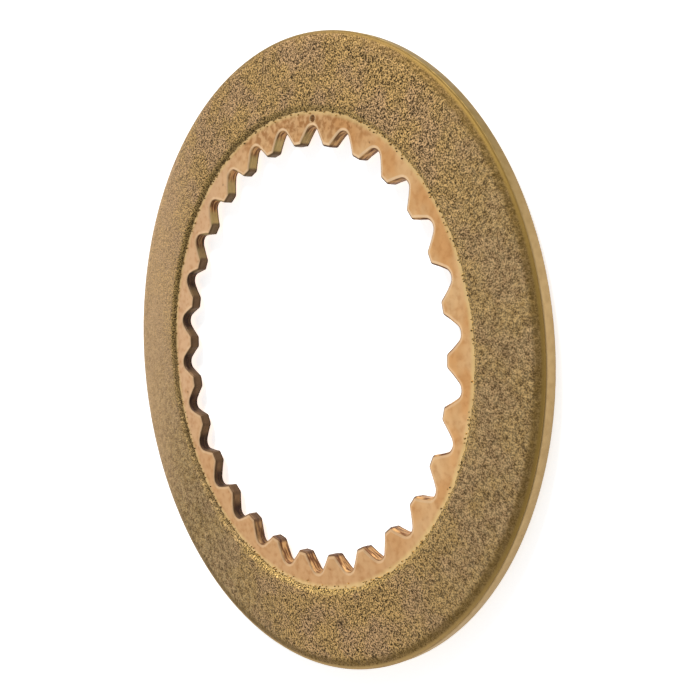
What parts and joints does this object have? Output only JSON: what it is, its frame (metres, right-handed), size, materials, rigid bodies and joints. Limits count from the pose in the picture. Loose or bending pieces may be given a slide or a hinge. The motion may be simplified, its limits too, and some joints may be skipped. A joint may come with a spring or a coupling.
{
  "type": "wet clutch friction disc",
  "caption": "Flat friction disc for a wet multi-plate clutch: a copper-plated steel core plate with internal spline teeth and a sintered bronze facing on each side.",
  "frame": {"origin": "on the disc's axis at mid thickness, which is the centre of the bounding box", "axes": "+Z along the disc's axis out of the front facing; +Y through the index hole; +X completes the right-handed frame"},
  "size_m": [0.1244, 0.1244, 0.0038],
  "materials": {
    "core_plate": "copper plated, satin",
    "facing": "sintered bronze, porous and matt"
  },
  "bodies": {
    "root": {"core_plate": "core_plate", "front_facing": "facing", "rear_facing": "facing"}
  },
  "joints": []
}
